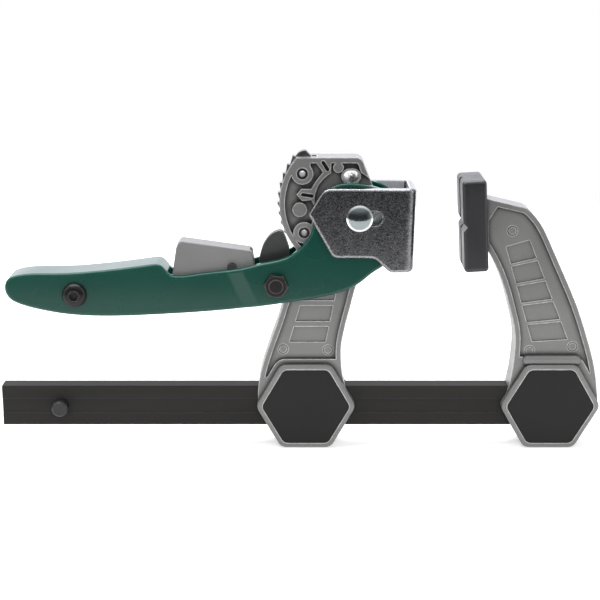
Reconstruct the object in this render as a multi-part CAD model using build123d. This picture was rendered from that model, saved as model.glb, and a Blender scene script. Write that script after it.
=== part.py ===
from build123d import *
import math
import os

# A small lever clamp, sizes in millimetres. X runs along the rail towards the
# fixed jaw, Y runs across it and Z is up. The origin is on the ground, under
# the middle of the clamp, which stands on the flats of its two hexagonal bosses.

# Overall sizes
overall_length = 261.6
jaw_spacing = 106.9
reach = 84.6
arm_thick = 11.6

# Rail
rail_height = 18.0
rail_thick = 8.6
rail_edge = 0.7
rail_drop = 0.8
rail_past_fixed = 13.0
rail_groove_height = 6.4
rail_groove_depth = 0.35
stop_pin_dia = 7.0
stop_pin_inset = 25.8
stop_pin_proud = 5.6

# Hexagonal bosses with their cover plates
boss_flats = 38.0
boss_thick = 17.0
boss_corner = 4.0
boss_round = 1.1
cover_flats = 33.6
cover_corner = 3.2
cover_thick = 1.0
cover_recess = 1.2
bore_side_gap = 0.15
bore_height_gap = 0.2
boss_pin_dia = 5.0
boss_pin_spread = 7.0
boss_pin_end_gap = 0.1

# Castings
casting_rim = 2.3
casting_pocket = 1.5
head_pocket = 2.3
fixed_collar = 3.0
cushion_long = 25.4
cushion_high = 4.2
cushion_proud = 1.6
panel_corner = -2.4
panel_corner_turn = -31.0
panel_past_pad = 0.9
slide_collar = 2.0
collar_corner = 5.5
panel_tail = 12.8
ladder_depth = 0.5
ladder_rib = 1.3
ejector_dia = 4.4
ejector_depth = 0.25

# Main pivot, measured from the middle of the sliding boss
pivot_ahead = 22.5
rivet_dia = 6.0
rivet_head_dia = 11.2
rivet_head_high = 1.8
running_gap = 0.08
washer_dia = 20.4
washer_gap = 0.05

# Pressure shoe
shoe_side_gap = 0.5
shoe_plate = 3.0
shoe_bend = 4.6
shoe_lean = 1.3
shoe_top = 12.3
shoe_foot = 23.6
shoe_slot_right = 6.6
shoe_edge = 1.4

# Lever: a folded channel that widens into two cheeks round the head
lever_plate = 2.8
lever_grip_half = 8.2
lever_cheek_gap = 0.4
joggle_mid = -49.3
joggle_depth = -32.0
joggle_wide = 6.4
joggle_slope = -0.45
joggle_round = 8.0
web_end = -81.9
nose_end = -143.0
lever_edge = 1.2
cam_start_radius = 20.4
cam_lift = 5.0
cam_first = -25.0
cam_last = 72.0
lever_open = 60.0

# Ratchet sector and its hollow pins
sector_thick = 4.0
sector_fit = 0.05
tip_radius = 33.1
tooth_depth = 1.3
tooth_pitch = 7.5
tooth_first = 143.0
tooth_count = 9
sector_inner = 20.5
roll_pin_dia = 4.8
roll_pin_bore = 2.6

# Pawl, trigger and the fasteners of the lever
bolt_dia = 6.0
button_dia = 10.6
button_high = 3.2
socket_flats = 4.0
socket_depth = 1.8
nut_flats = 9.2
nut_thick = 3.0
pawl_thick = 4.4
pawl_hub = 5.0
pawl_side_gap = 0.15
spring_wire = 0.8
trigger_gap = 0.3
trigger_pin_dia = 4.2
trigger_round = 1.0
pawl_room_from = 7.6

# Jaw pad
pad_width = 24.0
pad_high = 39.5
pad_thick = 10.3
pad_lean = 3.1
pad_round = 1.6
pad_face_back = 40.6
pad_drop = 4.1
groove_depth = 1.7
groove_half = 2.1
tongue_thick = 5.0
tongue_high = 32.0
tongue_width = 17.0
tongue_fit = 0.1

# Places that follow from the sizes
boss_z = boss_flats / 2
boss_half = boss_flats / math.sqrt(3) - boss_corner * (2 / math.sqrt(3) - 1)
rail_left = -overall_length / 2
fixed_x = overall_length / 2 - boss_half
slide_x = fixed_x - jaw_spacing
rail_z = boss_z - rail_drop
rail_right = fixed_x + rail_past_fixed
pivot_x = slide_x + pivot_ahead
pivot_z = boss_z + reach
arm_half = arm_thick / 2
cheek_in = arm_half + lever_cheek_gap
cheek_out = cheek_in + lever_plate
grip_in = lever_grip_half - lever_plate
shoe_in = cheek_out + shoe_side_gap
shoe_half = shoe_in + shoe_plate
shoe_width = 2 * shoe_half
sector_mid = (-1.7, 5.2)
head_mid = (-3.5, 4.9)
head_radius = 30.3
head_top = 24.7
roll_pin_places = [(-24.1, 17.9), (-23.3, -7.5)]
pawl_bolt_at = (-35.3, -29.6)
grip_bolt_at = (-121.7, -34.1)
trigger_pin_at = (-54.2, -22.8)
slot_hole_at = (-3.5, 16.8)
slot_hole_wide = 6.4
slot_hole_high = 4.8
cross_pin_dia = 3.2


def slab(face, half):
    # A flat outline, given as x and z, made solid equally on both sides of the middle
    return extrude(Plane.XZ * face, amount=half, both=True)


def layer(face, inner, outer):
    # The same on one side and its mirror image, between two distances from the middle
    side = extrude(Plane.XZ.offset(inner) * face, amount=outer - inner)
    return side + mirror(side, about=Plane.XZ)


def rod(x, z, dia, y_from, y_to):
    # A round bar across the clamp
    disc = Pos(x, z) * Circle(dia / 2)
    return extrude(Plane.XZ.offset(-y_from) * disc, amount=y_from - y_to)


def closed(*pieces):
    # Lines, arcs and curves that meet end to end, filled in
    edges = [edge for piece in pieces for edge in piece.edges()]
    return make_face(Wire(edges))


def inset(face, distance):
    # An outline moved inwards, with its offset curves redrawn as plain splines
    edges = []
    for edge in offset(face, -distance).edges():
        if edge.geom_type in (GeomType.LINE, GeomType.CIRCLE):
            edges.append(edge)
        else:
            edges.append(Spline(*[edge @ (step / 12) for step in range(13)]))
    return closed(*edges)


def at_pivot(*points):
    # Places measured from the main pivot
    return [(pivot_x + x, pivot_z + z) for x, z in points]


def on_arm(middle, points):
    # Places along an arm: x from the boss, height as a share of the reach
    return [(middle + x, boss_z + share * reach) for x, share in points]


def polar(middle, radius, degrees):
    angle = math.radians(degrees)
    return (pivot_x + middle[0] + radius * math.cos(angle), pivot_z + middle[1] + radius * math.sin(angle))


def hexagon(x, z, flats, corner):
    sketch = RegularPolygon(radius=flats / math.sqrt(3), side_count=6)
    return Pos(x, z) * fillet(sketch.vertices(), corner)


def boss(x):
    body = slab(hexagon(x, boss_z, boss_flats, boss_corner), boss_thick / 2)
    rims = body.faces().filter_by(Axis.Y).edges()
    return fillet(rims, boss_round)


def cover_seats(x):
    seat = hexagon(x, boss_z, cover_flats, cover_corner)
    return layer(seat, boss_thick / 2 - cover_recess, boss_thick)


def cover(x, side):
    plate = hexagon(x, boss_z, cover_flats, cover_corner)
    seat = boss_thick / 2 - cover_recess
    body = extrude(Plane.XZ.offset(seat) * plate, amount=cover_thick)
    return body if side == "front" else mirror(body, about=Plane.XZ)


def below_panel(x, collar, outer_side):
    # All of the plane but the boss with its collar, which leaves a tail of panel on the arm's outer side
    plane = Pos(x, reach) * Rectangle(4 * reach, 4 * reach)
    wide = Pos(x - outer_side * boss_flats, 0) * Rectangle(2 * boss_flats, 2 * (boss_flats + collar))
    tail_end = Pos(x, 0) * Rectangle(4 * boss_flats, 2 * (boss_z + panel_tail))
    return plane - hexagon(x, boss_z, boss_flats + 2 * collar, collar_corner) - wide - tail_end


def ladder(left_top, left_foot, right_top, right_foot, steps, rib_wide):
    # Shallow steps between two side lines of an arm
    faces = []
    for step in range(steps):
        high = step / steps
        low = (step + 1) / steps
        rib = rib_wide / math.dist(left_top, left_foot)
        corners = []
        for top, foot, share in (
            (left_top, left_foot, high + rib),
            (right_top, right_foot, high + rib),
            (right_top, right_foot, low),
            (left_top, left_foot, low),
        ):
            corners.append(tuple(a + share * (b - a) for a, b in zip(top, foot)))
        faces.append(make_face(Polyline(*corners, close=True)))
    return Sketch() + faces


def ejector_marks(places):
    # The shallow rings that ejector pins leave on a casting
    ring = Circle(ejector_dia / 2) - Circle(ejector_dia / 2 - 0.5)
    return Sketch() + [Pos(*place) * ring for place in places]


def cam_point(degrees, lean):
    # A cam whose reach towards the shoe falls evenly as the lever opens
    angle = math.radians(degrees)
    support = cam_start_radius - cam_lift * angle
    facing = angle - math.radians(lean)
    x = support * math.cos(facing) + cam_lift * math.sin(facing)
    z = support * math.sin(facing) - cam_lift * math.cos(facing)
    return (pivot_x + x, pivot_z + z)


def bolt_at(x, z, head_side, length_under_head, under_head):
    # A button-head bolt across the lever, with its head on the side given by -1 or +1
    shank = rod(x, z, bolt_dia, -under_head, length_under_head - under_head)
    dome_round = button_high - 0.6
    head = rod(x, z, button_dia, -under_head - button_high, -under_head)
    head = fillet(head.edges().group_by(Axis.Y)[0], dome_round)
    socket = Pos(x, z) * RegularPolygon(radius=socket_flats / math.sqrt(3), side_count=6)
    top = under_head + button_high
    head = head - extrude(Plane.XZ.offset(top - socket_depth) * socket, amount=socket_depth + 1)
    body = shank + head
    return body if head_side < 0 else mirror(body, about=Plane.XZ)


def nut_at(x, z, side, seat, turn):
    # A thin hexagon nut seated on a cheek
    blank = Pos(x, z) * RegularPolygon(radius=nut_flats / math.sqrt(3), side_count=6, rotation=turn)
    body = extrude(Plane.XZ.offset(seat) * blank, amount=nut_thick)
    body = body - rod(x, z, bolt_dia, -seat - nut_thick - 1, -seat + 1)
    foot_radius = nut_flats * 0.5 + nut_thick * 1.9
    top_radius = nut_flats * 0.5 - 0.15
    cone = Cone(foot_radius, top_radius, nut_thick, align=(Align.CENTER, Align.CENTER, Align.MIN))
    body = body & (Plane.XZ.offset(seat) * Pos(x, z) * cone)
    return body if side < 0 else mirror(body, about=Plane.XZ)


def coil(x, z, mean_dia, y_from, turns):
    # A close-wound torsion spring round a pin that lies across the clamp
    pitch = spring_wire * 1.12
    path = Helix(pitch=pitch, height=pitch * turns, radius=mean_dia / 2)
    section = Plane(origin=path @ 0, z_dir=path % 0) * RegularPolygon(spring_wire / 2, 6)
    body = sweep(section, path=path, is_frenet=True)
    return Plane(origin=(x, y_from, z), x_dir=(1, 0, 0), z_dir=(0, 1, 0)) * body


# Rail: a flat bar with eased edges and a shallow rolled groove in each side
rail_mid = (rail_left + rail_right) / 2
rail = Pos(rail_mid, 0, rail_z) * Box(rail_right - rail_left, rail_thick, rail_height)
rail = fillet(rail.edges().filter_by(Axis.X), rail_edge)
groove = Rectangle(rail_groove_depth * 2, rail_groove_height)
for side in (-1, 1):
    lane = Plane.YZ.offset(rail_left - 1) * Pos(side * rail_thick / 2, rail_z) * groove
    rail = rail - extrude(lane, amount=rail_right - rail_left + 2)
stop_x = rail_left + stop_pin_inset
stop_half = rail_thick / 2 + stop_pin_proud
stop_pin = rod(stop_x, rail_z, stop_pin_dia, -stop_half, stop_half)
rail = rail - rod(stop_x, rail_z, stop_pin_dia + 0.04, -stop_half, stop_half)
stop_pin = chamfer(stop_pin.edges().filter_by(GeomType.CIRCLE), 0.6)

# Pins that hold the fixed jaw on the rail, hidden under its covers
pin_half = boss_thick / 2 - cover_recess - boss_pin_end_gap
fixed_jaw_pins = []
for side in (-1, 1):
    place = fixed_x + side * boss_pin_spread
    pin = rod(place, rail_z, boss_pin_dia, -pin_half, pin_half)
    fixed_jaw_pins.append(pin)
    rail = rail - pin

# Fixed jaw: boss, curved arm and the tongue that carries the pad
fixed_outer = on_arm(
    fixed_x,
    [
        (-13.7, 1.038), (-8.2, 0.974), (-2.1, 0.842), (4.0, 0.688), (9.9, 0.532), (15.1, 0.359), (18.5, 0.223),
        (20.5, 0.085), (21.0, 0.01),
    ],
)
fixed_inner = on_arm(
    fixed_x,
    [
        (-19.4, 0.04), (-17.3, 0.154), (-16.3, 0.266), (-16.3, 0.379), (-18.5, 0.5), (-21.8, 0.631),
        (-26.1, 0.752), (-31.0, 0.85),
    ],
)
tip_corner = fixed_outer[0]
tip_top = on_arm(fixed_x, [(-30.0, 1.084)])[0]
tip_root = on_arm(fixed_x, [(-33.2, 1.07)])[0]
pad_face_x = fixed_x - pad_face_back
pad_mid_z = pivot_z - pad_drop
pad_place = Pos(pad_face_x, 0, pad_mid_z) * Rot(0, -pad_lean, 0)
fixed_outline = closed(
    Spline(*fixed_outer),
    Line(fixed_outer[-1], fixed_inner[0]),
    Spline(*fixed_inner),
    Line(fixed_inner[-1], tip_root),
    Line(tip_root, tip_top),
    Line(tip_top, tip_corner),
)
fixed_jaw = slab(fixed_outline, arm_half)
fixed_jaw = fixed_jaw + boss(fixed_x)
tongue_mid = pad_thick - tongue_thick / 2
fixed_jaw = fixed_jaw + pad_place * Pos(tongue_mid, 0, 0) * Box(tongue_thick, tongue_width, tongue_high)
fixed_panel = inset(fixed_outline, casting_rim)
past_pad = pad_face_x + pad_thick + panel_past_pad
right_half = Rectangle(4 * reach, 6 * reach, align=(Align.MIN, Align.CENTER))
side_cut = Pos(past_pad, pad_mid_z) * Rot(0, 0, pad_lean) * right_half
corner_cut = Pos(past_pad, pivot_z + panel_corner) * Rot(0, 0, panel_corner_turn) * right_half
fixed_panel = fixed_panel & side_cut & corner_cut & below_panel(fixed_x, fixed_collar, 1)
fixed_jaw = fixed_jaw - layer(fixed_panel, arm_half - casting_pocket, arm_half + 1)
fixed_ladder = ladder(
    *on_arm(fixed_x, [(-21.6, 0.85), (-8.6, 0.338), (-12.0, 0.885), (6.7, 0.35)]), steps=5, rib_wide=ladder_rib
)
fixed_floor = arm_half - casting_pocket
fixed_jaw = fixed_jaw - layer(fixed_ladder, fixed_floor - ladder_depth, fixed_floor + 0.1)
fixed_marks = on_arm(fixed_x, [(-18.9, 0.918), (9.1, 0.31), (-9.5, 0.288)])
fixed_jaw = fixed_jaw - layer(ejector_marks(fixed_marks), fixed_floor - ejector_depth, fixed_floor + 0.1)
cushion = Pos(fixed_x, boss_z + boss_flats / 2 + fixed_collar / 2) * SlotOverall(cushion_long, cushion_high)
cushion = slab(cushion, arm_half + cushion_proud)
fixed_jaw = fixed_jaw + fillet(cushion.faces().filter_by(Axis.Y).edges(), cushion_proud - 0.1)
fixed_jaw = fixed_jaw - cover_seats(fixed_x)
rail_hole = Pos(rail_mid, 0, rail_z) * Box(rail_right - rail_left, rail_thick, rail_height)
fixed_jaw = fixed_jaw - rail_hole
for pin in fixed_jaw_pins:
    fixed_jaw = fixed_jaw - pin

# Pad: a moulded cap pushed over the tongue, with crossed grooves for round stock
jaw_pad = Pos(pad_thick / 2, 0, 0) * Box(pad_thick, pad_width, pad_high)
jaw_pad = fillet(jaw_pad.edges().filter_by(Axis.X), pad_round + 0.4)
jaw_pad = fillet(jaw_pad.faces().filter_by(Axis.X).edges(), pad_round)
flute = make_face(Polyline((-0.1, groove_half), (groove_depth, 0), (-0.1, -groove_half), close=True))
jaw_pad = jaw_pad - extrude(Plane.XZ * flute, amount=pad_width, both=True)
jaw_pad = jaw_pad - extrude(Plane.XY * flute, amount=pad_high, both=True)
pocket_x = pad_thick - tongue_thick - tongue_fit
pocket = Box(
    pad_thick,
    tongue_width + 2 * tongue_fit,
    tongue_high + 2 * tongue_fit,
    align=(Align.MIN, Align.CENTER, Align.CENTER),
)
jaw_pad = pad_place * (jaw_pad - Pos(pocket_x, 0, 0) * pocket)
jaw_pad = jaw_pad - slab(fixed_outline, arm_half + tongue_fit)

# Sliding jaw: boss, arm and the head that carries the lever
slide_left = on_arm(
    slide_x, [(-9.9, 0.537), (-11.65, 0.468), (-14.3, 0.378), (-17.4, 0.271), (-19.6, 0.18), (-20.9, 0.02)]
)
slide_right = on_arm(
    slide_x,
    [
        (17.9, 0.06), (16.2, 0.14), (15.3, 0.25), (15.3, 0.31), (16.3, 0.39), (18.0, 0.475), (20.2, 0.58),
        (21.8, 0.647),
    ],
)
head_right = at_pivot((6.5, -17.6), (9.6, -7.8), (9.6, 0.0), (8.0, 6.7), (5.4, 13.2), (2.1, 21.2))
head_heel = polar(head_mid, head_radius, 220)
rim_left = polar(head_mid, head_radius, 180)
rim_top = math.degrees(math.asin((head_top - head_mid[1]) / head_radius))
rim_corner = polar(head_mid, head_radius, 180 - rim_top)
top_right = at_pivot((-0.8, head_top))[0]
neck = at_pivot((-27.0, -24.1))[0]
slide_outline = closed(
    ThreePointArc(rim_corner, rim_left, head_heel),
    Spline(head_heel, neck, *slide_left),
    Line(slide_left[-1], slide_right[0]),
    Spline(*slide_right, *head_right),
    ThreePointArc(head_right[-1], at_pivot((0.9, 23.6))[0], top_right),
    Line(top_right, rim_corner),
)
sliding_jaw = slab(slide_outline, arm_half)
sliding_jaw = sliding_jaw + boss(slide_x)
slide_panel = inset(slide_outline, casting_rim)
arm_top = pivot_z - 22
arm_zone = Pos(slide_x, arm_top / 2) * Rectangle(120, arm_top)
floor_y = arm_half - casting_pocket
arm_panel = slide_panel & arm_zone & below_panel(slide_x, slide_collar, -1)
sliding_jaw = sliding_jaw - layer(arm_panel, floor_y, arm_half + 1)
slide_ladder = ladder(
    *on_arm(slide_x, [(0.9, 0.666), (-7.1, 0.336), (14.0, 0.666), (8.4, 0.336)]),
    steps=3,
    rib_wide=2 * ladder_rib,
)
sliding_jaw = sliding_jaw - layer(slide_ladder, floor_y - ladder_depth, floor_y + 0.1)
slide_marks = on_arm(slide_x, [(-9.9, 0.297), (9.6, 0.292)])
sliding_jaw = sliding_jaw - layer(ejector_marks(slide_marks), floor_y - ejector_depth, floor_y + 0.1)

# Pocket behind the ratchet teeth, shut in by the zigzag rib on its right
head_floor = arm_half - head_pocket
rib_line = at_pivot(
    (-20.7, 22.4), (-18.3, 22.5), (-15.4, 18.6), (-18.6, 14.4), (-20.4, 11.4), (-24.6, 11.4),
    (-26.5, 8.9), (-24.2, 6.3), (-20.3, 6.7), (-18.5, 2.9), (-20.2, -3.9),
)
left_field = make_face(
    Polyline(*rib_line, *at_pivot((-21.7, -15.6), (-40.0, -15.6), (-40.0, 19.4), (-20.7, 20.8)), close=True)
)
pin_bosses = Sketch() + [Pos(*at_pivot(place)[0]) * Circle(roll_pin_dia / 2 + 2.2) for place in roll_pin_places]
round_boss = Pos(*at_pivot((-25.2, 2.5))[0]) * Circle(3.1)
left_pocket = slide_panel & left_field
left_pocket = left_pocket - pin_bosses - round_boss
sliding_jaw = sliding_jaw - layer(left_pocket, head_floor, arm_half + 1)

# Recess round the lever's eye and the pocket above it, with the ringed hole
eye_recess = Pos(*at_pivot((-5.5, 6.3))[0]) * Circle(13.5)
upper_zone = Pos(*at_pivot((3.0, 15.5))[0]) * Rectangle(30.0, 18.0)
hole_shape = SlotOverall(slot_hole_wide + 0.01, slot_hole_high)
hole_place = Pos(*at_pivot(slot_hole_at)[0])
hole_ring = hole_place * SlotOverall(slot_hole_wide + 1.8, slot_hole_high + 1.8)
pivot_ring = Pos(pivot_x, pivot_z) * Circle(rivet_dia / 2 + 3.5)
small_disc = Pos(*at_pivot((-8.9, 20.5))[0]) * Circle(2.2)
right_pocket = (eye_recess + (upper_zone & slide_panel)) - hole_ring - pivot_ring - small_disc
sliding_jaw = sliding_jaw - layer(right_pocket, head_floor, arm_half + 1)
sliding_jaw = sliding_jaw - slab(hole_place * hole_shape, arm_half + 1)
short_slot = Pos(*at_pivot((-22.0, 8.7))[0]) * Rot(0, 0, -9) * SlotOverall(5.4, 1.5)
slant_slot = Pos(*at_pivot((-14.4, 21.2))[0]) * Rot(0, 0, -58) * SlotOverall(5.0, 1.5)
sliding_jaw = sliding_jaw - layer(short_slot + slant_slot, floor_y - 1.2, arm_half + 1)

# Bores, slot and seats of the sliding jaw
sector_gap = sector_thick / 2 + sector_fit
sector_room = Pos(pivot_x + sector_mid[0], pivot_z + sector_mid[1]) * (Circle(60) - Circle(sector_inner - 0.2))
room_wedge = make_face(
    Polyline(
        polar(sector_mid, 0, 0),
        polar(sector_mid, 70, 130),
        polar(sector_mid, 70, 176),
        polar(sector_mid, 70, 222),
        close=True,
    )
)
sliding_jaw = sliding_jaw - slab(sector_room & room_wedge, sector_gap)
for place in roll_pin_places:
    sliding_jaw = sliding_jaw - rod(*at_pivot(place)[0], roll_pin_dia, -arm_thick, arm_thick)
sliding_jaw = sliding_jaw - rod(pivot_x, pivot_z, rivet_dia, -arm_thick, arm_thick)
sliding_jaw = sliding_jaw - cover_seats(slide_x)
bore = Box(4 * boss_half, rail_thick + 2 * bore_side_gap, rail_height + 2 * bore_height_gap)
sliding_jaw = sliding_jaw - Pos(slide_x, 0, rail_z) * bore

# Ratchet sector: a toothed plate let into the head and held by two hollow pins
root_radius = tip_radius - tooth_depth
tooth_points = []
for number in range(tooth_count):
    tip = tooth_first + number * tooth_pitch
    tooth_points.append(polar(sector_mid, root_radius, tip - 0.4))
    tooth_points.append(polar(sector_mid, tip_radius, tip))
sector_foot = tooth_first + tooth_count * tooth_pitch - 2.0
sector_end = 219.0
sector_start = 133.5
heel_radius = root_radius - 1.9
tooth_points.append(polar(sector_mid, root_radius, sector_foot))
tooth_points.append(polar(sector_mid, heel_radius, sector_foot + 1))
sector_outline = closed(
    Polyline(*tooth_points),
    ThreePointArc(
        polar(sector_mid, heel_radius, sector_foot + 1),
        polar(sector_mid, heel_radius, sector_end - 3),
        polar(sector_mid, heel_radius, sector_end),
    ),
    Line(polar(sector_mid, heel_radius, sector_end), polar(sector_mid, sector_inner, sector_end)),
    ThreePointArc(
        polar(sector_mid, sector_inner, sector_end),
        polar(sector_mid, sector_inner, 180),
        polar(sector_mid, sector_inner, sector_start),
    ),
    Line(polar(sector_mid, sector_inner, sector_start), polar(sector_mid, root_radius - 1.4, sector_start)),
    ThreePointArc(
        polar(sector_mid, root_radius - 1.4, sector_start),
        polar(sector_mid, root_radius - 0.2, sector_start + 3.2),
        tooth_points[0],
    ),
)
ratchet_sector = slab(sector_outline, sector_thick / 2)
sector_roll_pins = []
for place in roll_pin_places:
    spot = at_pivot(place)[0]
    ratchet_sector = ratchet_sector - rod(*spot, roll_pin_dia, -arm_thick, arm_thick)
    tube = rod(*spot, roll_pin_dia, -arm_half, arm_half) - rod(*spot, roll_pin_bore, -arm_thick, arm_thick)
    sector_roll_pins.append(tube)
cross_pin_z = pivot_z + slot_hole_at[1] - slot_hole_high / 2 + cross_pin_dia / 2 + 0.07
cross_pin = rod(pivot_x + slot_hole_at[0] + 0.5, cross_pin_z, cross_pin_dia, -arm_half + 0.2, arm_half - 0.2)
cross_pin = chamfer(cross_pin.edges().filter_by(GeomType.CIRCLE), 0.3)

# Rivet: the lever's pivot, which also guides the shoe in its slots
rivet_grip = shoe_half + running_gap
pivot_rivet = rod(pivot_x, pivot_z, rivet_dia, -rivet_grip - 0.5, rivet_grip + 0.5)
dome_radius = (rivet_head_dia**2 / 4 + rivet_head_high**2) / (2 * rivet_head_high)
dome_cut = rod(pivot_x, pivot_z, rivet_head_dia, -rivet_grip - rivet_head_high, -rivet_grip)
dome_ball = Pos(pivot_x, -rivet_grip - rivet_head_high + dome_radius, pivot_z) * Sphere(dome_radius)
rivet_head = dome_cut & dome_ball
pivot_rivet = pivot_rivet + rivet_head + mirror(rivet_head, about=Plane.XZ)

# Washers between the lever's cheeks and the shoe
washer_disc = Pos(pivot_x, pivot_z) * (Circle(washer_dia / 2) - Circle(rivet_dia / 2))
rivet_washers = layer(washer_disc, cheek_out + washer_gap, shoe_in - washer_gap)

# Pressure shoe: a plate folded into a U, its web leaning a little
web_back = cam_start_radius + 0.24
web_front = web_back + shoe_plate
fold_length = web_front + 40
fold_outer = Pos(web_front - fold_length / 2, 0) * Rectangle(fold_length, shoe_width)
fold_outer = fillet(fold_outer.vertices().group_by(Axis.X)[-1], shoe_bend)
fold_inner = Pos(web_back - fold_length / 2 - 2, 0) * Rectangle(fold_length + 4, 2 * shoe_in)
fold_inner = fillet(fold_inner.vertices().group_by(Axis.X)[-1], shoe_bend - shoe_plate)
fold = extrude(fold_outer - fold_inner, amount=60, both=True)
shoe_place = Pos(pivot_x, 0, pivot_z) * Rot(0, shoe_lean, 0)
shoe_corners = at_pivot(
    (30.0, shoe_top), (-14.9, shoe_top + 0.3), (-21.7, 1.5), (-11.2, -17.3), (6.2, -17.4), (13.3, -shoe_foot),
    (30.0, -shoe_foot),
)
shoe_line = FilletPolyline(*shoe_corners, radius=[0.1, 5.0, 2.4, 4.0, 5.0, 3.2, 0.1], close=True)
shoe_outline = make_face(shoe_line)
pressure_shoe = (shoe_place * fold) & slab(shoe_outline, shoe_half + 1)
slot_radius = rivet_dia / 2 + running_gap
slot_line = Pos(pivot_x + shoe_slot_right / 2, pivot_z) * SlotCenterToCenter(shoe_slot_right, 2 * slot_radius)
pressure_shoe = pressure_shoe - slab(slot_line, shoe_half + 1)
outer_rims = [
    edge
    for face in pressure_shoe.faces().filter_by(Axis.Y)
    if abs(abs(face.center().Y) - shoe_half) < 0.01
    for edge in face.outer_wire().edges()
]
web_line_x = pivot_x + web_front - shoe_bend - 1.0
rim_edges = [edge for edge in outer_rims if edge.center().X < web_line_x - 2]
pressure_shoe = fillet(rim_edges, shoe_edge)

# Lever outline, measured from the pivot and drawn with the lever shut
cam_points = [cam_point(cam_first + step * (cam_last - cam_first) / 8, shoe_lean) for step in range(9)]
lever_back = at_pivot(
    (-1.6, 14.2), (-12.3, 12.4), (-18.2, 2.9), (-19.5, -4.9), (-21.6, -9.6), (-25.0, -13.7), (-29.3, -17.0),
    (-33.5, -18.7), (-42.1, -20.6), (-50.6, -22.7), (-67.7, -24.9), (-78.0, -26.0), (-81.0, -25.3),
    (-83.2, -22.6), (-85.4, -20.9), (-88.9, -20.9),
)
lever_grip = at_pivot(
    (-110.3, -23.6), (-131.7, -24.9), (-146.5, -25.8), (-150.3, -27.6), (-151.6, -30.6), (-151.0, -34.1),
    (-149.2, -36.4), (-145.2, -38.5), (-136.7, -40.9), (-128.2, -42.5), (-119.6, -43.4), (-89.5, -43.2),
    (-46.5, -39.8), (-25.0, -36.7), (-7.9, -33.0), (0.6, -28.8), (5.3, -24.9),
)
lever_outline = make_face(Spline(*cam_points, *lever_back, *lever_grip, periodic=True))
joggle_way = Vector(joggle_slope, 0, 1).normalized()


def plan_band(half_grip, half_cheek):
    # The channel seen from above, with the soft slanting joggle between grip and cheeks
    bend_from = joggle_mid - joggle_wide / 2
    bend_to = joggle_mid + joggle_wide / 2
    upper = [(-200, half_grip), (bend_from, half_grip), (bend_to, half_cheek)]
    lower = [(x, -y) for x, y in reversed(upper)]
    band = make_face(Polyline(*upper, (200, half_cheek), (200, -half_cheek), *lower, close=True))
    bends = [corner for corner in band.vertices() if abs(corner.X) < 199]
    band = fillet(bends, joggle_round)
    foot = Pos(Vector(pivot_x, 0, pivot_z + joggle_depth) - joggle_way * 150)
    return extrude(foot * band, amount=300, dir=joggle_way)


def along_outline(edge):
    # True for the edges that follow the lever's outline on its two outer sides
    in_joggle = abs((edge % 0.5).dot(joggle_way)) > 0.99 and abs(edge.center().X - pivot_x - joggle_mid) < 20
    return abs(edge.center().Y) > lever_grip_half - 0.1 and not in_joggle


lever_blank = slab(lever_outline, cheek_out + 1) & plan_band(lever_grip_half, cheek_out)
lever_blank = fillet([edge for edge in lever_blank.edges() if along_outline(edge)], lever_edge)
inner_outline = inset(lever_outline, lever_plate)
grip_zone = Pos(pivot_x + web_end - 60, pivot_z - 30) * Rectangle(120, 60)
below = Pos(pivot_x + (web_end + nose_end) / 2, pivot_z - 46) * Rectangle(web_end - nose_end, 30)
open_zone = Pos(pivot_x + web_end + 80, pivot_z) * Rectangle(160, 120)
hollow_side = (inner_outline & grip_zone) + below + open_zone
hollow = slab(hollow_side, cheek_out) & plan_band(grip_in, cheek_in)
lever = lever_blank - hollow
lever = lever - rod(pivot_x, pivot_z, rivet_dia + 2 * running_gap, -30, 30)
pawl_bolt_x, pawl_bolt_z = at_pivot(pawl_bolt_at)[0]
grip_bolt_x, grip_bolt_z = at_pivot(grip_bolt_at)[0]
trigger_pin_x, trigger_pin_z = at_pivot(trigger_pin_at)[0]
lever = lever - rod(pawl_bolt_x, pawl_bolt_z, bolt_dia, -30, 30)
lever = lever - rod(grip_bolt_x, grip_bolt_z, bolt_dia, -30, 30)
trigger_pin_half = lever_grip_half - 0.8
lever = lever - rod(trigger_pin_x, trigger_pin_z, trigger_pin_dia + 0.04, -trigger_pin_half, trigger_pin_half)

# Fasteners of the lever
grip_bolt_length = 2 * lever_grip_half + nut_thick + 0.4
handle_screw = bolt_at(grip_bolt_x, grip_bolt_z, -1, grip_bolt_length, lever_grip_half)
handle_nut = nut_at(grip_bolt_x, grip_bolt_z, 1, lever_grip_half, 0)
handle_spacer = rod(grip_bolt_x, grip_bolt_z, bolt_dia + 4, -grip_in, grip_in)
handle_spacer = handle_spacer - rod(grip_bolt_x, grip_bolt_z, bolt_dia, -30, 30)
pawl_bolt_length = 2 * cheek_out + nut_thick + 0.4
pawl_bolt = bolt_at(pawl_bolt_x, pawl_bolt_z, 1, pawl_bolt_length, cheek_out)
pawl_nut = nut_at(pawl_bolt_x, pawl_bolt_z, -1, cheek_out, -6)
bush_from = pawl_thick / 2 + pawl_side_gap
pawl_bushes = []
for side in (-1, 1):
    ends = sorted((side * bush_from, side * cheek_in))
    bush = rod(pawl_bolt_x, pawl_bolt_z, bolt_dia + 2.4, *ends)
    pawl_bushes.append(bush - rod(pawl_bolt_x, pawl_bolt_z, bolt_dia, -30, 30))
spring_dia = bolt_dia + 2.4 + spring_wire + 0.2
pawl_spring = coil(pawl_bolt_x, pawl_bolt_z, spring_dia, bush_from + spring_wire, 2.5)

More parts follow.
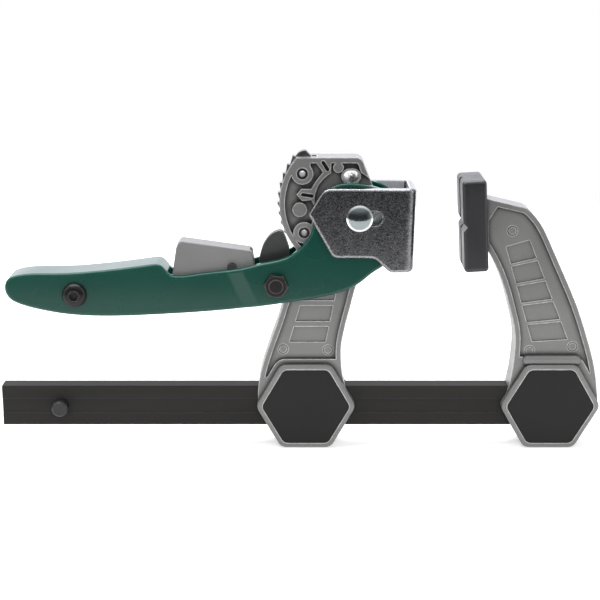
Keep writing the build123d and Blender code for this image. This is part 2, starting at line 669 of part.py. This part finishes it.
# Pawl: its nose rides just outside the tips of the ratchet teeth
nose_radius = tip_radius + 0.3
pawl_nose = polar(sector_mid, nose_radius, 202.6)
pawl_mid = polar(sector_mid, nose_radius, 205.5)
pawl_tip = polar(sector_mid, nose_radius, 208)
pawl_heel = polar(sector_mid, nose_radius + 1.15, 216)
pawl_back = at_pivot((-34.1, -7.4), (-37.5, -9.0), (-40.4, -12.7), (-42.3, -18.2), (-42.7, -20.6))
pawl_neck = at_pivot((-42.4, -23.0), (-39.1, -26.2))
hub_right = (pawl_bolt_x + pawl_hub, pawl_bolt_z)
hub_turn = math.radians(35)
hub_left = (pawl_bolt_x - pawl_hub * math.cos(hub_turn), pawl_bolt_z + pawl_hub * math.sin(hub_turn))
pawl_outline = closed(
    Line(pawl_nose, pawl_back[0]),
    Spline(*pawl_back),
    Line(pawl_back[-1], pawl_neck[0]),
    Line(pawl_neck[0], hub_left),
    ThreePointArc(hub_left, (pawl_bolt_x, pawl_bolt_z - pawl_hub), hub_right),
    Polyline(hub_right, pawl_heel, pawl_tip),
    ThreePointArc(pawl_tip, pawl_mid, pawl_nose),
)
pawl = slab(pawl_outline, pawl_thick / 2)
pawl = pawl - rod(pawl_bolt_x, pawl_bolt_z, bolt_dia + 2 * running_gap, -30, 30)

# Trigger: a moulded thumb piece between the cheeks
trigger_half = grip_in - trigger_gap
trigger_line = at_pivot(
    (-80.4, -29.0), (-78.0, -13.9), (-76.3, -11.3), (-45.6, -15.6), (-44.6, -23.4), (-48.0, -24.0),
    (-51.5, -27.0), (-59.5, -30.0),
)
trigger_rounds = [1.0, 2.5, 1.6, 1.6, 0.8, 2.0, 2.0, 3.0]
trigger_outline = make_face(FilletPolyline(*trigger_line, radius=trigger_rounds, close=True))
trigger = slab(trigger_outline, trigger_half)
trigger = fillet(trigger.faces().filter_by(Axis.Y).edges(), trigger_round / 2)
trigger = trigger - rod(trigger_pin_x, trigger_pin_z, trigger_pin_dia + 2 * running_gap, -30, 30)
spring_room = Pos(trigger_pin_x, 0, trigger_pin_z - 4) * Box(11, 4.4, 18)
pawl_room = Pos(trigger_pin_x + pawl_room_from + 5, 0, trigger_pin_z) * Box(10, pawl_thick + 0.6, 40)
trigger = trigger - spring_room - pawl_room
trigger_pin = rod(trigger_pin_x, trigger_pin_z, trigger_pin_dia, -trigger_pin_half, trigger_pin_half)
trigger_spring = coil(trigger_pin_x, trigger_pin_z, trigger_pin_dia + spring_wire + 0.3, -1.4, 3)

parts = {
    "rail": rail,
    "stop_pin": stop_pin,
    "fixed_jaw": fixed_jaw,
    "fixed_jaw_pins": fixed_jaw_pins,
    "fixed_cover_front": cover(fixed_x, "front"),
    "fixed_cover_back": cover(fixed_x, "back"),
    "jaw_pad": jaw_pad,
    "sliding_jaw": sliding_jaw,
    "slide_cover_front": cover(slide_x, "front"),
    "slide_cover_back": cover(slide_x, "back"),
    "ratchet_sector": ratchet_sector,
    "sector_roll_pins": sector_roll_pins,
    "cross_pin": cross_pin,
    "pivot_rivet": pivot_rivet,
    "rivet_washers": rivet_washers,
    "pressure_shoe": pressure_shoe,
    "lever": lever,
    "handle_screw": handle_screw,
    "handle_nut": handle_nut,
    "handle_spacer": handle_spacer,
    "pawl_bolt": pawl_bolt,
    "pawl_nut": pawl_nut,
    "pawl_bushes": pawl_bushes,
    "pawl_spring": pawl_spring,
    "pawl": pawl,
    "trigger": trigger,
    "trigger_pin": trigger_pin,
    "trigger_spring": trigger_spring,
}
os.makedirs("parts", exist_ok=True)
for name, shape in parts.items():
    solids = shape if isinstance(shape, list) else [shape]
    bodies = [solid for item in solids for solid in item.solids()]
    whole = bodies[0] if len(bodies) == 1 else Compound(children=bodies)
    export_step(whole, f"parts/{name}.step")
    print(name, len(bodies), round(sum(body.volume for body in bodies), 1))
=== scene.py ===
# %% [markdown]
# # A quick-action lever clamp
# The clamp comes in as finished solids, so this lesson is about looks: what each piece is made
# of, how that finish is built from nodes, and how light and camera show it. Every material is
# procedural. Patterns read Object coordinates, which are metres here, so a noise scale of 2000
# gives grains of about half a millimetre on every piece alike.

# %% Load the solids
import math

import bmesh
import bpy
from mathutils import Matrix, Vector

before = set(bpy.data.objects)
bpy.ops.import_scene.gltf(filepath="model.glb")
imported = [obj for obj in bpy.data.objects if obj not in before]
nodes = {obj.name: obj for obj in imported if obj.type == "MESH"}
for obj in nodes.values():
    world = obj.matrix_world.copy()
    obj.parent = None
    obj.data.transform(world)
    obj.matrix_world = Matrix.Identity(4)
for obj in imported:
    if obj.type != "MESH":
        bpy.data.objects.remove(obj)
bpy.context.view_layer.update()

scene = bpy.context.scene

# %% [markdown]
# ## Small helpers for node trees
# Node trees are easier to read when each node is one line. The first helper makes a node and
# sets the values that are given by socket name. The last three are the nodes that come back
# most: a sum on numbers, a change of range, and one colour laid over another by a mask. They
# give back the socket with the result, which goes straight into the next node.

# %% Node helpers


def add_node(tree, kind, values=None, **settings):
    """A new node with its settings and socket values."""
    node = tree.nodes.new(kind)
    for label, value in settings.items():
        setattr(node, label, value)
    for label, value in (values or {}).items():
        node.inputs[label].default_value = value
    return node


def join(tree, source, target):
    """One link between two sockets."""
    tree.links.new(source, target)


def put(tree, value, socket):
    """A link where the value is a socket, or else the value itself."""
    if isinstance(value, bpy.types.NodeSocket):
        join(tree, value, socket)
    else:
        socket.default_value = value


def calculate(tree, operation, *values, **settings):
    """The result of a Math node."""
    node = add_node(tree, "ShaderNodeMath", operation=operation, **settings)
    for value, socket in zip(values, node.inputs):
        put(tree, value, socket)
    return node.outputs[0]


def remap(tree, source, start, end, low=0.0, high=1.0, **settings):
    """What lies between start and end becomes low to high, and stays inside them."""
    span = {"From Min": start, "From Max": end, "To Min": low, "To Max": high}
    node = add_node(tree, "ShaderNodeMapRange", span, **settings)
    join(tree, source, node.inputs["Value"])
    return node.outputs["Result"]


def layer(tree, under, over, mask):
    """One colour over another where the mask is 1."""
    mixer = add_node(tree, "ShaderNodeMix", data_type="RGBA")
    put(tree, under, mixer.inputs["A"])
    put(tree, over, mixer.inputs["B"])
    join(tree, mask, mixer.inputs["Factor"])
    return mixer.outputs["Result"]


print("node helpers ready")

# %% [markdown]
# ## Helpers for groups and colours
# A shader group needs its sockets before it can be wired, so one helper makes an empty group
# with named number sockets. The two colour helpers save writing the same number three times.

# %% Group and colour helpers


def new_group(name, inputs, outputs):
    """An empty group with number sockets, and the nodes at its two ends."""
    group = bpy.data.node_groups.new(name, "ShaderNodeTree")
    number = {"socket_type": "NodeSocketFloat"}
    for label, value in inputs.items():
        socket = group.interface.new_socket(label, in_out="INPUT", **number)
        socket.default_value = value
    for label in outputs:
        group.interface.new_socket(label, in_out="OUTPUT", **number)
    return group, add_node(group, "NodeGroupInput"), add_node(group, "NodeGroupOutput")


def grey(value):
    """A neutral colour."""
    return (value, value, value, 1.0)


def scaled(colour, factor):
    """A colour made darker or brighter, never past white."""
    return tuple(min(1.0, channel * factor) for channel in colour[:3]) + (1.0,)


print("half of", grey(0.5)[:3], "is", scaled(grey(0.5), 0.5)[:3])

# %% [markdown]
# ## A shared group for grain
# Cast, painted and moulded surfaces are never quite even. This group gives two things from the
# same place: a soft mask of large blotches and a fine grain. Paint uses the blotches to vary its
# gloss and the grain as height for a Bump node. Stretch scales the pattern along the piece, so
# that a value below 1 draws the grain out into streaks.

# %% Grain group


def make_grain_group():
    """Blotches and fine grain from Object coordinates."""
    group, inside, outside = new_group(
        "surface_grain",
        {"Grain Scale": 1500.0, "Blotch Scale": 40.0, "Stretch": 1.0}, ("Grain", "Blotches"),
    )
    place = add_node(group, "ShaderNodeTexCoord")
    stretch = add_node(group, "ShaderNodeCombineXYZ", {"Y": 1.0, "Z": 1.0})
    along = add_node(group, "ShaderNodeVectorMath", operation="MULTIPLY")
    join(group, inside.outputs["Stretch"], stretch.inputs["X"])
    join(group, place.outputs["Object"], along.inputs[0])
    join(group, stretch.outputs[0], along.inputs[1])
    fine = add_node(group, "ShaderNodeTexNoise", {"Detail": 2.0, "Roughness": 0.6})
    broad = add_node(group, "ShaderNodeTexNoise", {"Detail": 3.0, "Roughness": 0.5})
    for noise, scale, mask in ((fine, "Grain Scale", "Grain"), (broad, "Blotch Scale", "Blotches")):
        join(group, along.outputs[0], noise.inputs["Vector"])
        join(group, inside.outputs[scale], noise.inputs["Scale"])
        join(group, noise.outputs["Fac"], outside.inputs[mask])
    return group


grain_group = make_grain_group()
print("group", grain_group.name, "has", len(grain_group.nodes), "nodes")

# %% [markdown]
# ## A shared group for worn edges and the painted highlight on them
# Paint thins and plating polishes on edges first. Pieces lay a brighter colour along this mask,
# partly for that rubbing and partly as a painted highlight where a rounded edge would catch the
# lamps. The Bevel node gives the normal that a rounded edge would have. Where it differs from the
# true normal there is an edge, and a noise breaks the line up so that it looks worn and not drawn.
# The product of two normals is 1 on a flat face, and falls as they part.

# %% Edge group
flat_face = 0.995
full_edge = 0.93
noise_gap = 0.40
noise_full = 0.62
least_edge_line = 0.5


def make_edge_group():
    """A mask that is 1 on worn edges, also used for a painted highlight, and 0 on open faces."""
    group, inside, outside = new_group(
        "edge_wear_and_highlight", {"Width": 0.0005, "Breakup Scale": 400.0, "Amount": 1.0}, ("Mask",)
    )
    soft = add_node(group, "ShaderNodeBevel", samples=6)
    join(group, inside.outputs["Width"], soft.inputs["Radius"])
    true_normal = add_node(group, "ShaderNodeNewGeometry")
    facing = add_node(group, "ShaderNodeVectorMath", operation="DOT_PRODUCT")
    join(group, soft.outputs["Normal"], facing.inputs[0])
    join(group, true_normal.outputs["Normal"], facing.inputs[1])
    bend = remap(group, facing.outputs["Value"], flat_face, full_edge)
    place = add_node(group, "ShaderNodeTexCoord")
    noise = add_node(group, "ShaderNodeTexNoise", {"Detail": 3.0, "Roughness": 0.65})
    join(group, place.outputs["Object"], noise.inputs["Vector"])
    join(group, inside.outputs["Breakup Scale"], noise.inputs["Scale"])
    breakup = remap(group, noise.outputs["Fac"], noise_gap, noise_full, low=least_edge_line)
    edge_line = calculate(group, "MULTIPLY", bend, breakup)
    amount = calculate(group, "MULTIPLY", edge_line, inside.outputs["Amount"], use_clamp=True)
    join(group, amount, outside.inputs["Mask"])
    return group


edge_group = make_edge_group()
print("group", edge_group.name, "has", len(edge_group.nodes), "nodes")

# %% [markdown]
# ## A shared group for painted shade in inner corners
# Inner corners of a casting lie in shade. Ambient occlusion finds such corners: it is low where
# nearby faces close in. Turned into a mask it darkens the foot of every rib and recess with
# painted shade, which is what makes shallow relief readable on a grey casting.

# %% Crevice group
open_face = 0.95
deep_corner = 0.55


def make_painted_shade_group():
    """A painted-shade mask that is 1 in inner corners and 0 on open faces."""
    group, inside, outside = new_group("painted_corner_shade", {"Distance": 0.002, "Amount": 1.0}, ("Mask",))
    shade = add_node(group, "ShaderNodeAmbientOcclusion", samples=8, only_local=True)
    join(group, inside.outputs["Distance"], shade.inputs["Distance"])
    closed_in = remap(group, shade.outputs["AO"], open_face, deep_corner)
    amount = calculate(group, "MULTIPLY", closed_in, inside.outputs["Amount"], use_clamp=True)
    join(group, amount, outside.inputs["Mask"])
    return group


painted_shade_group = make_painted_shade_group()
print("group", painted_shade_group.name, "has", len(painted_shade_group.nodes), "nodes")

# %% [markdown]
# ## A start for every material
# The Principled shader stays in the material itself, where values that are the same all over are
# set straight on its sockets. What varies over the surface is linked in afterwards: the base
# colour, the roughness and, through a Bump node, the normal.

# %% Material helpers


def new_material(name, values):
    """A material with nothing but a Principled shader, and that shader's tree."""
    material = bpy.data.materials.new(name)
    material.use_nodes = True
    tree = material.node_tree
    tree.nodes.clear()
    out = add_node(tree, "ShaderNodeOutputMaterial")
    shader = add_node(tree, "ShaderNodeBsdfPrincipled", values)
    join(tree, shader.outputs[0], out.inputs["Surface"])
    return material, tree, shader


def emboss(tree, shader, height, strength, distance):
    """A Bump node between a height and the shader's normal."""
    relief = add_node(tree, "ShaderNodeBump", {"Strength": strength, "Distance": distance})
    join(tree, height, relief.inputs["Height"])
    join(tree, relief.outputs["Normal"], shader.inputs["Normal"])


print("material helpers ready")

# %% [markdown]
# ## One recipe for painted, oxidised and moulded pieces
# Most pieces here differ in a handful of values: colour, gloss, how coarse the grain is and how
# much an edge shows. So one function builds the tree, and each material below is a call with the
# values of that finish. The colours are laid over each other in this order: the coat with its
# blotches, bright flakes in it, brighter edges that are partly worn and partly a painted
# highlight, and painted shade in the corners.

# %% Finish recipe
coat_rough = 0.12
blotch_span = (0.35, 0.65)
flake_span = (0.55, 0.75)
gloss_span = (0.3, 0.7)
# How dark the painted shade in inner corners is.
corner_dark = 0.25


def finish(name, colour, edge_colour, rough, metal=0.0, shine=0.5, coat=0.0, grain=1500.0,
           bump=0.1, bump_deep=0.00002, blotch=40.0, blotch_dark=0.85, stretch=1.0,
           rough_spread=0.06, speck=0.0, edge_width=0.0005, edge_amount=0.5, crevice=0.0,
           crevice_deep=0.002):
    """A paint, oxide or plastic with grain, blotches, edges brightened by rubbing and a painted
    highlight, and painted shade in inner corners.
    """
    plain_values = {"Metallic": metal, "Specular IOR Level": shine}
    plain_values.update({"Coat Weight": coat, "Coat Roughness": coat_rough})
    material, tree, shader = new_material(name, plain_values)
    scales = {"Grain Scale": grain, "Blotch Scale": blotch, "Stretch": stretch}
    grains = add_node(tree, "ShaderNodeGroup", scales, node_tree=grain_group)
    edge_values = {"Width": edge_width, "Amount": edge_amount}
    edges = add_node(tree, "ShaderNodeGroup", edge_values, node_tree=edge_group)
    blotches = grains.outputs["Blotches"]
    patches = remap(tree, blotches, *blotch_span)
    last = layer(tree, scaled(colour, blotch_dark), colour, patches)
    if speck:
        flakes = remap(tree, grains.outputs["Grain"], *flake_span)
        last = layer(tree, last, scaled(colour, 1 + speck), flakes)
    # Edges get a brighter colour: partly worn, partly a painted highlight.
    last = layer(tree, last, edge_colour, edges.outputs["Mask"])
    # Inner corners get a darker colour: painted shade.
    if crevice:
        corner_shade_values = {"Distance": crevice_deep, "Amount": crevice}
        corners = add_node(tree, "ShaderNodeGroup", corner_shade_values, node_tree=painted_shade_group)
        last = layer(tree, last, scaled(colour, corner_dark), corners.outputs["Mask"])
    join(tree, last, shader.inputs["Base Color"])
    gloss = remap(tree, blotches, *gloss_span, rough - rough_spread, rough + rough_spread)
    join(tree, gloss, shader.inputs["Roughness"])
    emboss(tree, shader, grains.outputs["Grain"], bump, bump_deep)
    return material


print("finish recipe ready")

# %% [markdown]
# ## Paints
# The two jaws are castings under a textured silver-grey paint: rough, finely pebbled, with metal
# flakes in it, brighter on its edges, partly from rubbing and partly as a painted highlight, and
# darker in its corners as painted shade. The lever is a pressing under glossy green paint, which
# needs a clear coat and almost no grain; its bright edge line is partly a painted highlight.

# %% Paints
paint_grey = finish(
    "casting_paint", (0.200, 0.200, 0.197, 1), (0.62, 0.62, 0.61, 1), rough=0.36, metal=0.3,
    shine=0.35, grain=2600.0, bump=0.25, bump_deep=0.00003, blotch=60.0, blotch_dark=0.9,
    speck=0.25, edge_width=0.0008, edge_amount=1.1, crevice=1.0, crevice_deep=0.0025,
)
paint_green = finish(
    "lever_paint", (0.002, 0.050, 0.035, 1), (0.04, 0.22, 0.17, 1), rough=0.26, shine=0.22,
    coat=0.3, grain=700.0, bump=0.04, bump_deep=0.00003, blotch=30.0, blotch_dark=0.95,
    edge_width=0.0012, edge_amount=1.3,
)
print("paints:", paint_grey.name, paint_green.name)

# %% [markdown]
# ## Black oxide and bare steel
# The bar is black oxide over rolled steel, with streaks along it. The screws and pins have the
# same oxide, but oiled and smoother, and the screws show a trace of brown on their edges. Their
# bright edges, like those of the bar and the pawl, are partly worn and partly a painted highlight.
# The pawl is plain steel that has gone dull.

# %% Oxides
oxide_black = finish(
    "bar_oxide", (0.033, 0.032, 0.031, 1), grey(0.07), rough=0.38, shine=0.02, grain=1200.0,
    bump=0.08, blotch=90.0, blotch_dark=0.9, stretch=0.12, rough_spread=0.02,
    edge_width=0.0006, edge_amount=0.6,
)
oxide_screw = finish(
    "screw_oxide", (0.013, 0.012, 0.012, 1), (0.13, 0.11, 0.11, 1), rough=0.32, metal=0.3,
    shine=0.35, grain=2500.0, bump=0.08, edge_width=0.0006, edge_amount=1.3,
)
oxide_pin = finish(
    "pin_oxide", (0.020, 0.019, 0.019, 1), grey(0.09), rough=0.35, shine=0.35, grain=2000.0,
    edge_width=0.0004, edge_amount=0.7,
)
pawl_steel = finish(
    "pawl_steel", (0.062, 0.066, 0.065, 1), grey(0.2), rough=0.38, metal=0.5, grain=1800.0,
    bump=0.2, edge_amount=0.8,
)
print("oxides and steel:", oxide_black.name, oxide_screw.name, oxide_pin.name, pawl_steel.name)

# %% [markdown]
# ## Plastics and rubber
# The covers are smooth moulded plastic, the trigger a coarser one with pale flecks. The jaw pad
# is hard rubber: dark from the front, but bright where light grazes it.

# %% Plastics and rubber
cover_plastic = finish(
    "cover_plastic", (0.0125, 0.0125, 0.0123, 1), grey(0.05), rough=0.40, shine=0.2,
    grain=1800.0, bump=0.06, blotch=25.0, edge_width=0.0004,
)
pad_rubber = finish(
    "pad_rubber", (0.010, 0.010, 0.0125, 1), (0.09, 0.09, 0.10, 1), rough=0.44, shine=0.65,
    bump=0.2, bump_deep=0.00003, blotch=70.0, edge_width=0.0009, edge_amount=0.6,
)
trigger_plastic = finish(
    "trigger_plastic", (0.185, 0.185, 0.184, 1), grey(0.36), rough=0.42, grain=2200.0, bump=0.2,
    blotch=50.0, blotch_dark=0.92, speck=0.12, edge_amount=0.6,
)
print("made so far:", len(bpy.data.materials), "materials")

# %% [markdown]
# ## A recipe for zinc plate
# Zinc plating has a spangle: small crystals that each catch the light a little differently. A
# Voronoi texture gives cells, and the colour of a cell sets how bright and how rough it is. A
# slower noise adds cloudy patches, and also a shallow relief. The edges are brighter: partly
# from polish by rubbing, partly a painted highlight.

# %% Zinc recipe
patch_per_cell = 0.12
cell_share = 0.5
patch_share = 0.5
polish_and_highlight = (0.75, 0.76, 0.77, 1)
edge_line_width = 0.0012
smoother = 0.06
rougher = 0.08
plate_relief = 0.15
plate_relief_deep = 0.00002


def zinc_plate(name, dark, bright, rough, cell_scale, stretch=(1.0, 1.0, 1.0), metal=1.0,
               edge_amount=2.5):
    """Plated steel whose crystals differ in brightness."""
    material, tree, shader = new_material(name, {"Metallic": metal})
    place = add_node(tree, "ShaderNodeTexCoord")
    shape = add_node(tree, "ShaderNodeMapping", {"Scale": stretch})
    join(tree, place.outputs["Object"], shape.inputs["Vector"])
    cells = add_node(tree, "ShaderNodeTexVoronoi", {"Scale": cell_scale, "Randomness": 1.0})
    cloud_values = {"Scale": cell_scale * patch_per_cell, "Detail": 4.0, "Roughness": 0.6}
    clouds = add_node(tree, "ShaderNodeTexNoise", cloud_values)
    for texture in (cells, clouds):
        join(tree, shape.outputs["Vector"], texture.inputs["Vector"])
    split = add_node(tree, "ShaderNodeSeparateColor")
    join(tree, cells.outputs["Color"], split.inputs["Color"])
    cloudy = calculate(tree, "MULTIPLY", clouds.outputs["Fac"], patch_share)
    both = calculate(tree, "MULTIPLY_ADD", split.outputs["Red"], cell_share, cloudy)
    edge_values = {"Width": edge_line_width, "Amount": edge_amount}
    edges = add_node(tree, "ShaderNodeGroup", edge_values, node_tree=edge_group)
    plate = layer(tree, dark, bright, both)
    # Edges get the bright colour: partly polish from rubbing, partly a painted highlight.
    join(tree, layer(tree, plate, polish_and_highlight, edges.outputs["Mask"]), shader.inputs["Base Color"])
    gloss = remap(tree, split.outputs["Green"], 0.0, 1.0, rough - smoother, rough + rougher)
    join(tree, gloss, shader.inputs["Roughness"])
    emboss(tree, shader, clouds.outputs["Fac"], plate_relief, plate_relief_deep)
    return material


print("zinc recipe ready")

# %% [markdown]
# ## The plated pieces
# The plate of the shoe was rolled before it was folded, so its crystals are longer one way. Its
# inner side is duller, and paler as a painted reflection. The pins are bright, the rivet head is
# the smoothest, and the sector and the springs are plain steel with the same crystals.

# %% Zinc and sector steel
rolled = (1.0, 1.0, 1.4)
zinc_shoe = zinc_plate(
    "zinc_plate", (0.045, 0.045, 0.049, 1), (0.31, 0.31, 0.32, 1), rough=0.26,
    cell_scale=1900.0, stretch=rolled,
)
# Its paler colours are a painted reflection on the shoe's inward faces.
zinc_inside = zinc_plate(
    "zinc_inside", (0.40, 0.40, 0.43, 1), (0.58, 0.58, 0.62, 1), rough=0.4,
    cell_scale=1900.0, stretch=rolled, metal=0.3,
)
zinc_pin = zinc_plate(
    "zinc_pin", (0.42, 0.44, 0.45, 1), (0.62, 0.66, 0.68, 1), rough=0.25, cell_scale=1800.0
)
zinc_rivet = zinc_plate(
    "zinc_rivet", (0.20, 0.23, 0.235, 1), (0.25, 0.28, 0.285, 1), rough=0.14, cell_scale=2200.0
)
sector_plate = zinc_plate(
    "sector_plate", grey(0.13), grey(0.30), rough=0.4, cell_scale=1500.0, edge_amount=0.4
)
spring_wire = zinc_plate("spring_wire", grey(0.22), grey(0.4), rough=0.3, cell_scale=2500.0)
print("steels:", zinc_shoe.name, zinc_pin.name, sector_plate.name)

# %% [markdown]
# ## Give each piece its finish
# A solid that came in keeps its shape, and only its material slots change. The table follows how
# the clamp is made: castings, the pressed lever, the folded shoe, and the bought-in fasteners.

# %% Assign
finish_of = {
    "rail": oxide_black,
    "stop_pin": oxide_pin,
    "fixed_jaw": paint_grey,
    "sliding_jaw": paint_grey,
    "fixed_jaw_pins": zinc_pin,
    "fixed_cover_front": cover_plastic,
    "fixed_cover_back": cover_plastic,
    "slide_cover_front": cover_plastic,
    "slide_cover_back": cover_plastic,
    "jaw_pad": pad_rubber,
    "ratchet_sector": sector_plate,
    "sector_roll_pins": oxide_screw,
    "cross_pin": zinc_pin,
    "pivot_rivet": zinc_rivet,
    "rivet_washers": zinc_pin,
    "pressure_shoe": zinc_shoe,
    "lever": paint_green,
    "handle_screw": oxide_screw,
    "handle_nut": oxide_screw,
    "handle_spacer": zinc_pin,
    "pawl_bolt": oxide_screw,
    "pawl_nut": oxide_screw,
    "pawl_bushes": zinc_pin,
    "pawl_spring": spring_wire,
    "pawl": pawl_steel,
    "trigger": trigger_plastic,
    "trigger_pin": oxide_pin,
    "trigger_spring": spring_wire,
}
for name, material in finish_of.items():
    piece = nodes[name]
    piece.data.materials.clear()
    piece.data.materials.append(material)
print("finished", len(finish_of), "of", len(nodes), "pieces")

# %% [markdown]
# ## The inside of the shoe
# The plating inside the fold is never worn, so it stays dull; it is also painted paler, a painted
# reflection on these inward faces. Faces of the shoe that look inward get a second material slot:
# on the two sides a normal points at the middle plane, and behind the web it points back at the
# head.

# %% Shoe inside
square_to_side = 0.9
square_to_web = -0.95
shoe_mesh = nodes["pressure_shoe"].data
shoe_mesh.materials.append(zinc_inside)
inward = 0
for face in shoe_mesh.polygons:
    on_side = abs(face.normal.y) > square_to_side
    faces_middle = on_side and face.normal.y * face.center.y < 0
    if faces_middle or face.normal.x < square_to_web:
        face.material_index = 1
        inward += 1
print("inward faces:", inward)

# %% [markdown]
# ## Floor
# The clamp stands on a plain pale floor, which lies a hair below its feet so that no two faces
# share a plane. Under studio lamps a pale floor is still a light grey. Its glow lifts it to
# white, and only camera, mirror and glass rays see that, so it puts no more light on the paint.

# %% Floor
floor_half_width = 0.7
floor_front = -0.28
floor_back = 0.55
floor_drop = 0.0002
floor_glow = 0.45
floor_mesh = bmesh.new()
bmesh.ops.create_grid(floor_mesh, x_segments=1, y_segments=1, size=1.0)
floor_deep = (floor_back - floor_front) / 2
bmesh.ops.scale(floor_mesh, verts=floor_mesh.verts, vec=(floor_half_width, floor_deep, 1.0))
floor_place = (0.0, (floor_back + floor_front) / 2, -floor_drop)
bmesh.ops.translate(floor_mesh, verts=floor_mesh.verts, vec=floor_place)
floor_data = bpy.data.meshes.new("floor")
floor_mesh.to_mesh(floor_data)
floor_mesh.free()
floor = bpy.data.objects.new("floor", floor_data)
scene.collection.objects.link(floor)
floor_values = {"Base Color": grey(0.86), "Roughness": 0.9, "Emission Color": grey(1.0)}
floor_paint, floor_tree, floor_shader = new_material("pale_floor", floor_values)
floor_rays = add_node(floor_tree, "ShaderNodeLightPath").outputs
floor_mirrored = calculate(
    floor_tree, "MAXIMUM", floor_rays["Is Glossy Ray"], floor_rays["Is Transmission Ray"]
)
floor_seen = calculate(floor_tree, "MAXIMUM", floor_rays["Is Camera Ray"], floor_mirrored)
floor_lift = calculate(floor_tree, "MULTIPLY", floor_seen, floor_glow)
join(floor_tree, floor_lift, floor_shader.inputs["Emission Strength"])
floor_data.materials.append(floor_paint)
print("floor", 2 * floor_half_width, "m wide")

# %% [markdown]
# ## The room around
# The world does three jobs, told apart by Light Path. It lights every surface evenly and dimly.
# Camera and glass rays see plain white. Mirror rays see a room that is white behind the clamp
# and overhead, half as bright at one side, and dark in front, because plated steel only looks
# like steel when it has something dark to reflect.

# %% World
room_light = 0.42
room_tint = (0.95, 0.96, 1.0, 1.0)
back_span = (-0.1, 0.6)
top_span = (0.1, 0.9)
side_span = (0.5, 0.9)
front_white = 0.1
side_white = 0.5


def choose(tree, factor, first, second):
    """One shader where the factor is 0, another where it is 1."""
    mixer = add_node(tree, "ShaderNodeMixShader")
    for source, socket in zip((factor, first, second), mixer.inputs):
        join(tree, source, socket)
    return mixer.outputs[0]


world = bpy.data.worlds.new("studio")
scene.world = world
world.use_nodes = True
sky = world.node_tree
sky.nodes.clear()
sky_out = add_node(sky, "ShaderNodeOutputWorld")
sky_rays = add_node(sky, "ShaderNodeLightPath").outputs
sky_way = add_node(sky, "ShaderNodeTexCoord")
sky_parts = add_node(sky, "ShaderNodeSeparateXYZ")
join(sky, sky_way.outputs["Generated"], sky_parts.inputs[0])
soft_step = {"interpolation_type": "SMOOTHSTEP"}
behind = remap(sky, sky_parts.outputs["Y"], *back_span, **soft_step)
above = remap(sky, sky_parts.outputs["Z"], *top_span, low=front_white, **soft_step)
beside = remap(sky, sky_parts.outputs["X"], *side_span, high=side_white, **soft_step)
mirrored = calculate(sky, "MAXIMUM", calculate(sky, "MAXIMUM", behind, beside), above)
plain = add_node(sky, "ShaderNodeBackground", {"Color": grey(1.0), "Strength": room_light})
mirror_room = add_node(sky, "ShaderNodeBackground", {"Color": room_tint})
join(sky, mirrored, mirror_room.inputs["Strength"])
room = choose(sky, sky_rays["Is Glossy Ray"], plain.outputs[0], mirror_room.outputs[0])
white = add_node(sky, "ShaderNodeBackground", {"Color": grey(1.0), "Strength": 1.0})
through = calculate(sky, "MAXIMUM", sky_rays["Is Camera Ray"], sky_rays["Is Transmission Ray"])
join(sky, choose(sky, through, room, white.outputs[0]), sky_out.inputs["Surface"])
print("world", world.name, "has", len(sky.nodes), "nodes")

# %% [markdown]
# ## Lamps
# A wide lamp overhead is the main light, which gives the bright top faces. A large one behind
# the camera fills the front and is hidden from mirror rays, so that it puts no white patch on
# the plate. A dim strip on each side draws highlights down the rounded edges, and a faintly
# blue panel at the back gives the sheen along the top of the lever and the pad.

# %% Lamps
clamp_middle = Vector((0.0, 0.0, 0.065))


def soft_lamp(name, place, size, watts, mirrored=True, tint=(1.0, 1.0, 1.0)):
    """A rectangular lamp that points at the middle of the clamp."""
    data = bpy.data.lights.new(name, "AREA")
    data.shape = "RECTANGLE"
    data.size, data.size_y = size
    data.energy = watts
    data.color = tint
    lamp = bpy.data.objects.new(name, data)
    lamp.location = place
    lamp.rotation_euler = (clamp_middle - Vector(place)).to_track_quat("-Z", "Y").to_euler()
    lamp.visible_glossy = mirrored
    scene.collection.objects.link(lamp)


strip = (0.25, 0.9)
soft_lamp("overhead", (-0.1, 0.15, 0.9), size=(1.1, 0.7), watts=12.0)
soft_lamp("front_fill", (0.15, -1.5, 0.75), size=(1.6, 1.0), watts=11.0, mirrored=False)
soft_lamp("left_strip", (-1.0, -0.25, 0.45), size=strip, watts=2.0)
soft_lamp("right_strip", (1.0, -0.2, 0.45), size=strip, watts=2.0)
soft_lamp("rear_panel", (0.0, 1.3, 0.5), size=(2.4, 0.9), watts=7.0, tint=(0.9, 0.91, 1.0))
print("lamps:", len(bpy.data.lights))

# %% [markdown]
# ## Camera
# The photograph was taken square on to the clamp, from a little above and with a long lens. The
# camera therefore sits on the line through the middle of the clamp, tilted down. The lens is
# given as a multiple of the sensor's width, because only their ratio sets what is in view.

# %% Camera
camera_distance = 0.63
camera_height_deg = 14.7
camera_focus = Vector((0.0, 0.0, 0.06506))
lens_per_sensor = 2.415
sensor_width = 36.0
tilt = math.radians(camera_height_deg)
camera_data = bpy.data.cameras.new("camera")
camera_data.sensor_width = sensor_width
camera_data.lens = sensor_width * lens_per_sensor
camera = bpy.data.objects.new("camera", camera_data)
camera_back = camera_distance * math.cos(tilt)
camera_up = camera_distance * math.sin(tilt)
camera.location = camera_focus + Vector((0.0, -camera_back, camera_up))
camera.rotation_euler = (math.pi / 2 - tilt, 0.0, 0.0)
scene.collection.objects.link(camera)
scene.camera = camera
scene.view_settings.view_transform = "Standard"
print("lens", round(camera_data.lens, 1), "mm")
